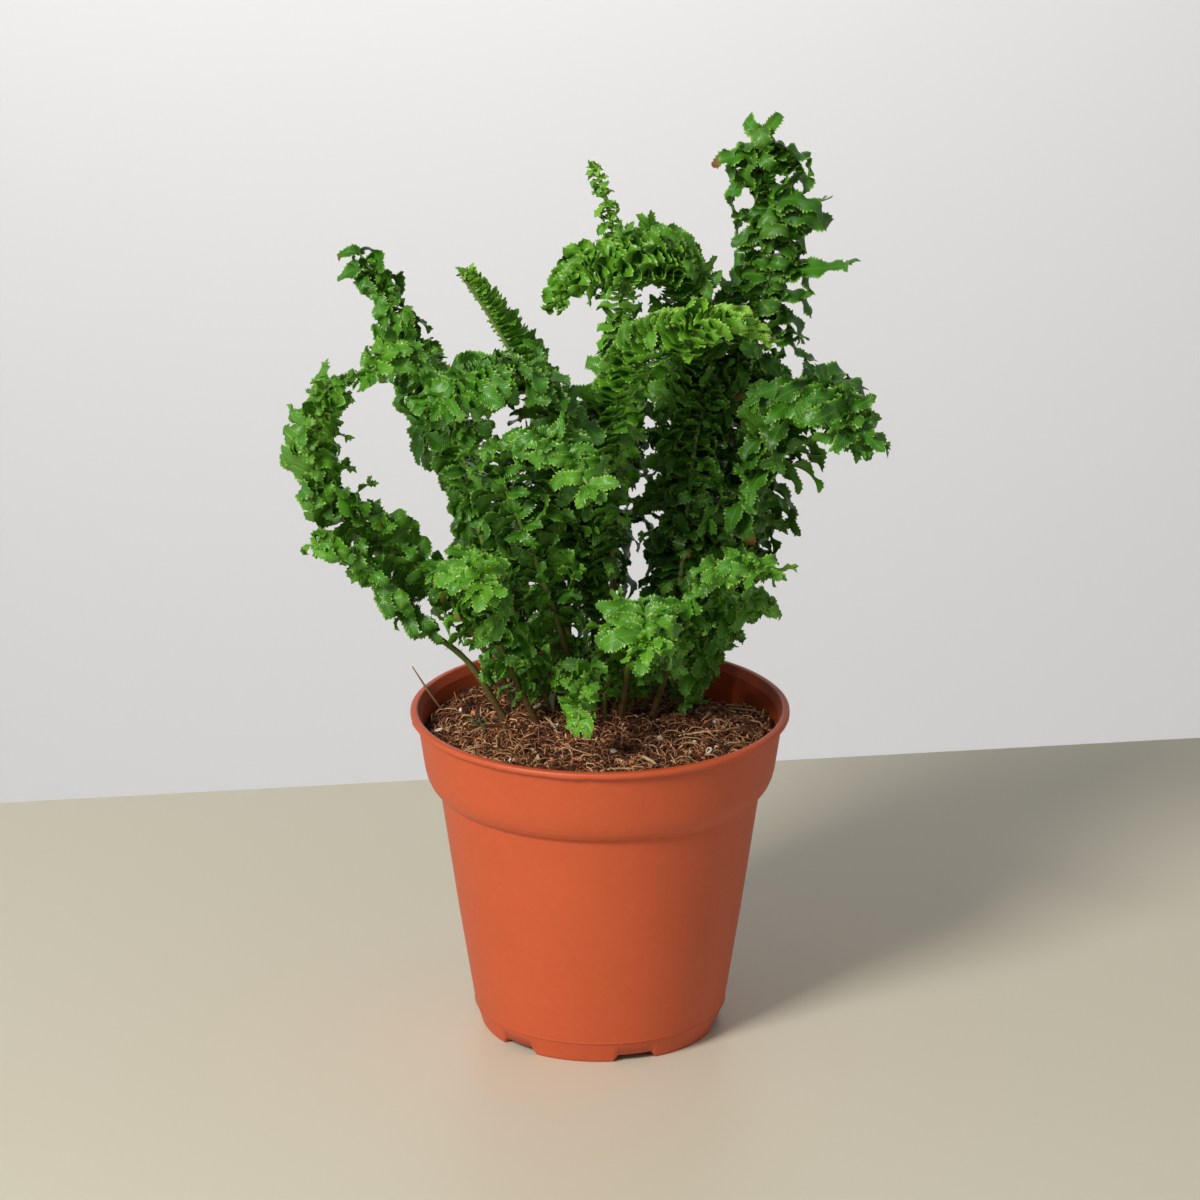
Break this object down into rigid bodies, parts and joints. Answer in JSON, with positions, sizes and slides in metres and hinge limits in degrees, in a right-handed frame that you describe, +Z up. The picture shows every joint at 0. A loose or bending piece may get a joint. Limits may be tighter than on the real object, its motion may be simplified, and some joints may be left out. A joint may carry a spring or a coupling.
{
  "type": "potted fern",
  "caption": "Curly Boston fern with crinkled, toothed fronds growing from coir mix in a round tapered nursery pot.",
  "frame": {"origin": "on the pot's axis, at the surface that the pot stands on", "axes": "+Z up along the pot's axis, -Y towards the side that the picture shows"},
  "size_m": [0.1724, 0.1167, 0.2574],
  "materials": {
    "pot": "satin terracotta-coloured moulded plastic",
    "soil": "matt fibrous coir and peat mix",
    "leaf": "glossy dark green leaf",
    "leaf_young": "satin yellow-green young leaf"
  },
  "bodies": {
    "root": {"pot": "pot", "soil": "soil", "frond_tall_right": "leaf", "frond_head_left": "leaf", "frond_spire_top": "leaf_young", "frond_head_right": "leaf", "frond_upright_mid": "leaf", "frond_right": "leaf", "frond_left_low": "leaf", "frond_left_curl": "leaf", "frond_upper_left": "leaf", "frond_spire_left": "leaf_young", "frond_left_fan": "leaf", "frond_mid_left": "leaf", "frond_front_mid": "leaf", "frond_front_left": "leaf", "frond_front_right": "leaf", "frond_right_front": "leaf", "frond_right_low": "leaf", "frond_right_back": "leaf", "frond_back_left": "leaf", "frond_back_mid": "leaf", "frond_back_right": "leaf", "frond_droop": "leaf"}
  },
  "joints": []
}
